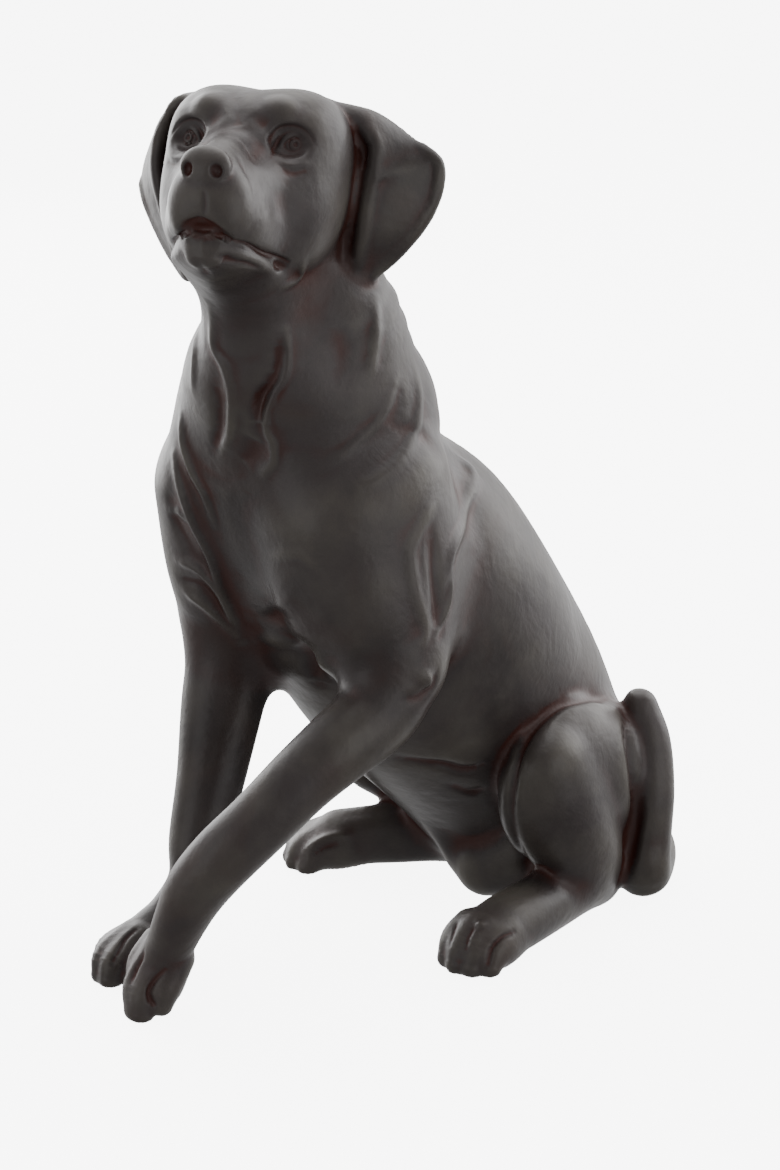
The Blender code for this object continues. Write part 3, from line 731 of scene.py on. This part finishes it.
# strokes, pressed into the skin where the photograph shows them: name, pixels of the photograph, width,
# rise (a groove where it is negative), and the part of the figure that has a twin of it
strokes = [
    ("throat ridge", [(286, 330), (287, 348), (286, 365), (282, 380), (273, 395), (266, 413), (267, 430),
                      (273, 445), (273, 462), (264, 474)], 3.6, 3.6, None),
    ("throat recess", [(275, 372), (271, 388), (263, 398), (259, 410), (260, 424)], 7.5, -8.0, None),
    ("throat recess, upper end", [(280, 345), (280, 362), (276, 380)], 4.5, -3.0, None),
    ("hollow under the recess", [(258, 440), (252, 455), (243, 464)], 9, -3.5, None),
    ("left throat fold", [(208, 303), (213, 342), (225, 367), (232, 397), (230, 430), (222, 450)],
     4.5, 3.2, None),
    ("behind the left fold", [(216, 385), (219, 405), (219, 430), (214, 450)], 5.5, -3.2, None),
    ("left neck edge", [(199, 330), (195, 355), (193, 390)], 4.5, 2.4, None),
    ("left breast fold", [(181, 415), (183, 442), (192, 470), (205, 495), (215, 525)], 4.5, 3.4, None),
    ("long breast fold", [(174, 455), (182, 492), (195, 525), (210, 555), (220, 585), (230, 612), (243, 640)],
     4.2, 4.6, None),
    ("beside the long fold", [(170, 490), (177, 520), (190, 548), (203, 570)], 6, -2.2, None),
    ("shoulder point fold", [(168, 508), (180, 513), (190, 521)], 4, 2.5, None),
    ("upper arm fold", [(178, 560), (195, 567), (210, 580), (222, 595), (233, 618)], 4, 4.0, None),
    ("between the arm folds", [(180, 578), (196, 584), (210, 596), (222, 610)], 4.5, -3.0, None),
    ("lower arm fold", [(186, 592), (205, 605), (222, 620), (238, 640)], 4, 3.6, None),
    ("right neck ridge", [(376, 300), (375, 342), (369, 378)], 5, 2.6, "body"),
    ("right neck valley", [(338, 325), (341, 355), (338, 392)], 10, -1.4, None),
    ("nape ridge", [(414, 366), (419, 400), (413, 434), (399, 460), (380, 477), (360, 487)],
     5.5, 3.0, "body"),
    ("nape valley", [(400, 385), (397, 408), (388, 430)], 8, -1.6, "body"),
    ("neck side ridge", [(398, 376), (388, 404), (374, 426), (352, 446), (328, 464)], 4, 1.8, None),
    ("shoulder rear ridge", [(438, 412), (458, 440), (469, 468), (464, 505), (454, 545), (448, 577)],
     6, 3.4, "body"),
    ("shoulder ridge", [(436, 502), (424, 520), (410, 550), (415, 592), (425, 630), (416, 652)],
     6, 2.6, "body"),
    ("shoulder valley", [(431, 535), (434, 570), (437, 605), (440, 632)], 6, -3.2, "body"),
    ("rear arm ridge", [(452, 577), (447, 606), (435, 636)], 3.8, 2.8, None),
    ("breast arc", [(272, 557), (287, 554), (302, 556), (315, 570)], 5, 1.3, None),
    ("breast ridge", [(262, 613), (280, 604), (299, 601)], 4.4, 1.3, None),
    ("hollow under the breast ridge", [(260, 624), (282, 618), (305, 624)], 9, -2.0, None),
    ("lower breast ridge", [(250, 645), (275, 640), (300, 644)], 6, 1.4, None),
    ("armpit", [(305, 646), (313, 662), (318, 682)], 9, -8.0, None),
    ("elbow crease", [(405, 700), (420, 697), (432, 686), (436, 672)], 4, -3.0, None),
    ("elbow point", [(418, 672), (428, 680), (431, 690)], 5, 2.6, None),
    ("flank", [(612, 697), (585, 699), (560, 705), (533, 728), (517, 760), (511, 800), (520, 850),
               (530, 868)], 4.4, -4.2, "body"),
    ("flank skin", [(508, 760), (470, 770), (440, 765), (400, 758)], 5, -3.6, None),
    ("belly crease", [(450, 785), (475, 792), (500, 800)], 4.5, -2.4, None),
    ("hip", [(622, 700), (629, 735), (635, 775), (636, 815), (630, 850), (618, 886)], 6, -6.5, None),
    ("hock fold", [(526, 862), (540, 868), (555, 878)], 3.2, -2.6, None),
    ("left forefoot, between the toes", [(165, 970), (154, 981), (149, 991), (150, 1000), (155, 1008)],
     2.2, -3.0, None),
    ("left forefoot, inner toe", [(144, 950), (137, 966), (131, 982)], 2.2, -2.6, None),
    ("right forefoot, between the toes", [(138, 928), (127, 936), (119, 950), (112, 964)], 2.2, -2.8, None),
    ("left hind foot, outer toe", [(514, 932), (502, 937), (492, 948), (487, 968)], 2.4, -3.4, None),
    ("left hind foot, second toe", [(474, 928), (468, 938), (466, 952)], 1.9, -1.4, None),
    ("left hind foot, inner toe", [(458, 922), (453, 934), (450, 946)], 1.9, -1.4, None),
    ("left hind foot, knuckle", [(478, 922), (484, 928)], 3.2, 1.8, None),
    ("right hind foot, knuckle", [(306, 850), (319, 841), (332, 836), (346, 835)], 3.4, 2.2, None),
    ("right hind foot, under the knuckle", [(312, 856), (326, 847), (340, 844)], 3.0, -2.0, None),
    ("brow valley", [(252, 112), (263, 123), (272, 130)], 6.5, -2.2, "head"),
    ("inner corner of the eye", [(272, 156), (276, 146), (282, 136)], 2.2, -2.2, "head"),
    ("forehead furrow", [(238, 96), (237, 112), (238, 127)], 6.5, -2.2, None),
    ("over the upper lid", [(272, 137), (282, 128), (297, 127), (309, 134), (315, 144)], 2.2, -1.6, "head"),
    ("bag under the eye", [(279, 162), (294, 166), (309, 163)], 2.4, 1.3, "head"),
    ("under the lower lid", [(281, 170), (294, 173), (308, 170)], 3.0, -1.2, "head"),
    ("philtrum", [(204, 190), (205, 204), (205, 218)], 2.0, -1.0, None),
    ("parting of the lips", [(222, 234), (230, 239), (247, 245), (263, 253), (275, 257), (288, 262)],
     1.5, -3.0, "head"),
    ("under the lower lip", [(218, 257), (233, 261), (247, 264), (261, 269)], 2.6, -2.0, None),
    ("inner line of the ear", [(352, 125), (358, 150), (355, 192), (348, 225), (347, 267)], 1.8, 1.6, None),
    ("behind the mouth", [(303, 262), (299, 277), (281, 288)], 3.2, 2.0, "head"),
    ("right flew fold", [(192, 257), (201, 267), (208, 276)], 3.6, -1.2, None),
]


def castOn(tree, pixels):
    # where the pixels of a stroke fall on the figure
    start = Vector(toRow(cameraPlace()))
    hits = [tree.ray_cast(start, Vector(sightLine(*pixel))) for pixel in pixels]
    hits = [hit for hit in hits if hit[0] is not None]
    if len(hits) < 2:
        return (), ()
    return toGrid([hit[0][:] for hit in hits]), np.array([hit[1][:] for hit in hits])


def twinOf(tree, path, side):
    # the same path on the other half of the head or the body
    if side == "head":
        placed = (path - head["centre"]) @ headAxes()
        placed[:, 0] = 2 * muzzleDrift(placed[:, 1]) - placed[:, 0]
        path = placed @ headAxes().T + head["centre"]
    else:
        path = path * (-1, 1, 1) + (clay["twinShift"], 0, 0)
    hits = [tree.find_nearest(Vector(place)) for place in toRow(path)]
    return toGrid([hit[0][:] for hit in hits]), np.array([hit[1][:] for hit in hits])


def press(points, normals, path, facing, width, rise):
    # raises or sinks the skin along the path, tapered at both ends, only where it faces the same way
    rows = smoothPath(np.hstack([path, facing]), 5)
    low, high = rows[:, :3].min(0) - 3 * width, rows[:, :3].max(0) + 3 * width
    close = np.flatnonzero(np.all((points > low) & (points < high), axis=1))
    gap = np.full(len(close), clay["far"])
    along = np.zeros(len(close))
    side = np.zeros(len(close))
    for i, (a, b) in enumerate(zip(rows[:-1], rows[1:])):
        way = b[:3] - a[:3]
        share = np.clip((points[close] - a[:3]) @ way / (way @ way), 0, 1)
        reach = np.linalg.norm(points[close] - (a[:3] + share[:, None] * way), axis=1)
        nearer = reach < gap
        gap[nearer] = reach[nearer]
        along[nearer] = (i + share[nearer]) / (len(rows) - 1)
        side[nearer] = np.clip(normals[close][nearer] @ a[3:], 0, 1)
    taper = np.sqrt(np.clip(np.sin(np.pi * np.clip(along, 0.02, 0.98)), 0, 1))
    points[close] += normals[close] * (rise * taper * side * np.exp(-((gap / width) ** 2)))[:, None]


def pressStrokes(piece):
    points = toGrid(readPoints(piece.data))
    normals = readNormals(piece.data)
    tree = BVHTree.FromObject(piece, bpy.context.evaluated_depsgraph_get())
    for name, pixels, width, rise, twin in strokes:
        path, facing = castOn(tree, pixels)
        if len(path) < 2:
            print("no place for", name)
            continue
        press(points, normals, path, facing, width, rise)
        if twin:
            share = 1.0 if twin == "head" else clay["farSide"]
            press(points, normals, *twinOf(tree, path, twin), width, rise * share)
    points[:, 2] = np.maximum(points[:, 2], clay["sole"])
    writePoints(piece.data, toRow(points))


pressStrokes(dog)
print("strokes pressed:", len(strokes))


def thin(piece):
    # fewer triangles, but not at the eyes
    points = toGrid(readPoints(piece.data))
    group = piece.vertex_groups.new(name="plain")
    eye = eyeSpot(points)
    group.add(np.flatnonzero(~eye).tolist(), 1.0, "REPLACE")
    applyModifier(piece, "TRIANGULATE", "triangles")
    keep = clay["triangles"] / len(piece.data.polygons)
    applyModifier(piece, "DECIMATE", "thin", ratio=min(keep, 1.0), vertex_group="plain")
    piece.vertex_groups.clear()
    bpy.ops.object.shade_smooth()


thin(dog)
print("the casting has", len(dog.data.polygons), "triangles")

patina = {
    "dark": (0.036, 0.027, 0.026, 1),
    "grey": (0.088, 0.073, 0.072, 1),
    "brown": (0.072, 0.038, 0.030, 1),
    "rub": (0.130, 0.115, 0.098, 1),
    "red": (0.075, 0.020, 0.013, 1),
    "roughLow": 0.30,
    "roughHigh": 0.46,
    # how deep or high the fine and the broad relief count in full, and their shares
    "sunkNear": (0.4, 0.7),
    "sunkFar": (3.0, 0.25),
    "raisedNear": (0.5, 0.5),
    "raisedFar": (2.5, 0.5),
    # painted shade: how much the eyeball and the seams round it are darkened
    "eyeShade": 0.14,
    # painted shade: how much the inside of the mouth is darkened
    "mouth": 0.6,
    "handBump": (0.35, 0.0016),  # strength, and depth in metres
    "grainBump": (0.25, 0.0006),
}


def markRelief(piece, rounds):
    # how far each point lies below or above its smoothed surroundings, near and far, with painted shade added
    # on the eyes and in the mouth
    mesh = piece.data
    points = toGrid(readPoints(mesh))
    normals = readNormals(mesh)
    ends = np.empty(len(mesh.edges) * 2, np.int64)
    mesh.edges.foreach_get("vertices", ends)
    a, b = ends.reshape(-1, 2).T
    count = np.bincount(a, minlength=len(points)) + np.bincount(b, minlength=len(points))
    smooth = points.copy()
    relief = []
    for k in range(rounds[-1]):
        sums = [np.bincount(a, smooth[b, i], len(points)) + np.bincount(b, smooth[a, i], len(points))
                for i in range(3)]
        smooth = 0.35 * smooth + 0.65 * np.stack(sums, axis=1) / count[:, None]
        if k + 1 in rounds:
            relief.append(((smooth - points) * normals).sum(1))
    near, far = relief

    def share(value, name):
        full, most = patina[name]
        return np.clip(value / full, 0, 1) * most

    # red patina in the hollows, with painted shade added on the eyes and in the mouth below
    hollowsAndShade = share(near, "sunkNear") + share(far, "sunkFar")
    placed = headPlaces(points)
    # painted shade on the eyeball and in the seams round it, in the red of the patina
    gaps = np.linalg.norm(placed - eyes["centre"], axis=1) - eyes["ball"]
    hollowsAndShade += patina["eyeShade"] * (1 - ease(gaps, 0.5, 3.0))
    # painted shade inside the mouth, in the red of the patina
    hollowsAndShade += patina["mouth"] * (1 - ease(Ball(*head["mouth shade"]).distance(placed), 0, 2))
    raised = share(-near, "raisedNear") + share(-far, "raisedFar")
    for name, values in (("hollowsAndShade", np.clip(hollowsAndShade, 0, 1)), ("raised", np.clip(raised, 0, 1))):
        layer = mesh.attributes.new(name, "FLOAT", "POINT")
        layer.data.foreach_set("value", values.astype(np.float32))


def bronzePatina():
    material = bpy.data.materials.new("dark_bronze_patina")
    material.use_nodes = True
    nodes, links = material.node_tree.nodes, material.node_tree.links
    surface = nodes["Principled BSDF"]
    place = nodes.new("ShaderNodeTexCoord")

    def cloud(scale, detail, low, high, distort=0.0):
        # soft noise, 0 to 1 between low and high
        noise = nodes.new("ShaderNodeTexNoise")
        noise.inputs["Scale"].default_value = scale
        noise.inputs["Detail"].default_value = detail
        noise.inputs["Distortion"].default_value = distort
        ramp = nodes.new("ShaderNodeMapRange")
        ramp.inputs["From Min"].default_value = low
        ramp.inputs["From Max"].default_value = high
        links.new(place.outputs["Object"], noise.inputs["Vector"])
        links.new(noise.outputs["Fac"], ramp.inputs["Value"])
        return ramp.outputs["Result"]

    def mark(name):
        attribute = nodes.new("ShaderNodeAttribute")
        attribute.attribute_name = name
        return attribute.outputs["Fac"]

    def times(first, second):
        maths = nodes.new("ShaderNodeMath")
        maths.operation = "MULTIPLY"
        maths.use_clamp = True
        links.new(first, maths.inputs[0])
        if isinstance(second, float):
            maths.inputs[1].default_value = second
        else:
            links.new(second, maths.inputs[1])
        return maths.outputs["Value"]

    def tint(under, colour, share):
        mix = nodes.new("ShaderNodeMix")
        mix.data_type = "RGBA"
        if isinstance(under, tuple):
            mix.inputs["A"].default_value = under
        else:
            links.new(under, mix.inputs["A"])
        mix.inputs["B"].default_value = colour
        links.new(share, mix.inputs["Factor"])
        return mix.outputs["Result"]

    colour = tint(patina["dark"], patina["grey"], cloud(7.0, 5.0, 0.35, 0.65, 0.6))
    colour = tint(colour, patina["brown"], times(cloud(9.0, 6.0, 0.50, 0.75, 1.2), 0.6))
    colour = tint(colour, patina["rub"], times(mark("raised"), cloud(16.0, 6.0, 0.35, 0.7)))
    # red where the patina lies in the hollows, and painted shade on the eyes and in the mouth
    colour = tint(colour, patina["red"], times(mark("hollowsAndShade"), cloud(11.0, 4.0, 0.2, 0.55)))
    links.new(colour, surface.inputs["Base Color"])

    rough = nodes.new("ShaderNodeMapRange")
    rough.inputs["To Min"].default_value = patina["roughLow"]
    rough.inputs["To Max"].default_value = patina["roughHigh"]
    links.new(cloud(12.0, 6.0, 0.3, 0.7), rough.inputs["Value"])
    links.new(rough.outputs["Result"], surface.inputs["Roughness"])

    # the modeller's hand, and the fine grain of the casting over it
    hand, grain = nodes.new("ShaderNodeBump"), nodes.new("ShaderNodeBump")
    for bump, name in ((hand, "handBump"), (grain, "grainBump")):
        bump.inputs["Strength"].default_value, bump.inputs["Distance"].default_value = patina[name]
    links.new(cloud(26.0, 3.0, 0.25, 0.75, 0.8), hand.inputs["Height"])
    links.new(cloud(160.0, 5.0, 0.25, 0.75), grain.inputs["Height"])
    links.new(hand.outputs["Normal"], grain.inputs["Normal"])
    links.new(grain.outputs["Normal"], surface.inputs["Normal"])
    surface.inputs["Specular IOR Level"].default_value = 0.5
    return material


markRelief(dog, clay["reliefRounds"])
dog.data.materials.clear()
dog.data.materials.append(bronzePatina())
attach(dog, "root")
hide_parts("seated_dog")
print("the patina is on")

studio = {
    "floor": 24.0,
    "floorGlow": 7.0,
    "floorTone": (0.92, 0.92, 0.92, 1),
    "floorLift": -0.0005,
    "backdrop": 8.0,  # brightness behind the figure, as the camera sees it
    "ambient": 0.34,  # and on the camera's side
    "glow": 2.0,  # brightness of the room on the side away from the camera
    # name, azimuth, elevation, distance, size, watts
    "lamps": [
        ("leftRim", -98, 10, 2.4, 2.0, 38),
        ("rightRim", 165, 20, 2.4, 2.0, 22),
        ("top", -135, 64, 2.4, 1.6, 9),
        ("front", -5, 8, 3.0, 2.4, 10),
        ("side", 100, 6, 2.8, 2.4, 13),
    ],
}


def makeFloor():
    bpy.ops.object.select_all(action="DESELECT")
    bpy.ops.mesh.primitive_plane_add(size=studio["floor"], location=(0, 0, studio["floorLift"]))
    floor = bpy.context.view_layer.objects.active
    floor.name = "studio_floor"
    material = bpy.data.materials.new("studio_floor")
    material.use_nodes = True
    surface = material.node_tree.nodes["Principled BSDF"]
    surface.inputs["Base Color"].default_value = studio["floorTone"]
    surface.inputs["Roughness"].default_value = 0.9
    surface.inputs["Emission Color"].default_value = (1, 1, 1, 1)
    surface.inputs["Emission Strength"].default_value = studio["floorGlow"]
    floor.data.materials.append(material)
    floor.visible_diffuse = False
    floor.visible_glossy = False


def makeLights():
    world = bpy.data.worlds.new("studio")
    bpy.context.scene.world = world
    world.use_nodes = True
    nodes, links = world.node_tree.nodes, world.node_tree.links
    backdrop, glow = nodes["Background"], nodes.new("ShaderNodeBackground")
    backdrop.inputs["Color"].default_value = (1, 1, 1, 1)
    backdrop.inputs["Strength"].default_value = studio["backdrop"]
    # the room is brightest on the far side of the figure
    way, toward = nodes.new("ShaderNodeTexCoord"), nodes.new("ShaderNodeVectorMath")
    toward.operation = "DOT_PRODUCT"
    toward.inputs[1].default_value = (-cameraAxes()[2][0], -cameraAxes()[2][1], 0.35)
    links.new(way.outputs["Generated"], toward.inputs[0])
    share = nodes.new("ShaderNodeMapRange")
    share.interpolation_type = "SMOOTHSTEP"
    share.inputs["From Min"].default_value = -0.25
    share.inputs["From Max"].default_value = 1.0
    share.inputs["To Min"].default_value = studio["ambient"]
    share.inputs["To Max"].default_value = studio["glow"]
    links.new(toward.outputs["Value"], share.inputs["Value"])
    links.new(share.outputs["Result"], glow.inputs["Strength"])
    seen, mix = nodes.new("ShaderNodeLightPath"), nodes.new("ShaderNodeMixShader")
    links.new(seen.outputs["Is Camera Ray"], mix.inputs["Fac"])
    links.new(glow.outputs["Background"], mix.inputs[1])
    links.new(backdrop.outputs["Background"], mix.inputs[2])
    links.new(mix.outputs["Shader"], nodes["World Output"].inputs["Surface"])
    for name, azimuth, elevation, distance, size, watts in studio["lamps"]:
        a, e = math.radians(azimuth), math.radians(elevation)
        way = Vector((math.sin(a) * math.cos(e), -math.cos(a) * math.cos(e), math.sin(e)))
        lamp = bpy.data.lights.new(name, "AREA")
        lamp.size = size
        lamp.energy = watts
        holder = bpy.data.objects.new(name, lamp)
        holder.location = Vector((0, 0, 0.35)) + way * distance
        holder.rotation_mode = "QUATERNION"
        holder.rotation_quaternion = (-way).to_track_quat("-Z", "Y")
        bpy.context.scene.collection.objects.link(holder)


def makeCamera():
    camera = bpy.data.cameras.new("photoView")
    camera.lens = photo["lens"]
    camera.sensor_width = photo["sensor"]
    camera.clip_start, camera.clip_end = 0.1, 50
    holder = bpy.data.objects.new("photoView", camera)
    turn = Matrix(cameraAxes()).transposed().to_4x4()
    holder.matrix_world = Matrix.Translation(Vector(toRow(cameraPlace()))) @ turn
    bpy.context.scene.collection.objects.link(holder)
    bpy.context.scene.camera = holder


makeFloor()
makeLights()
makeCamera()
print("floor, light and camera are set")
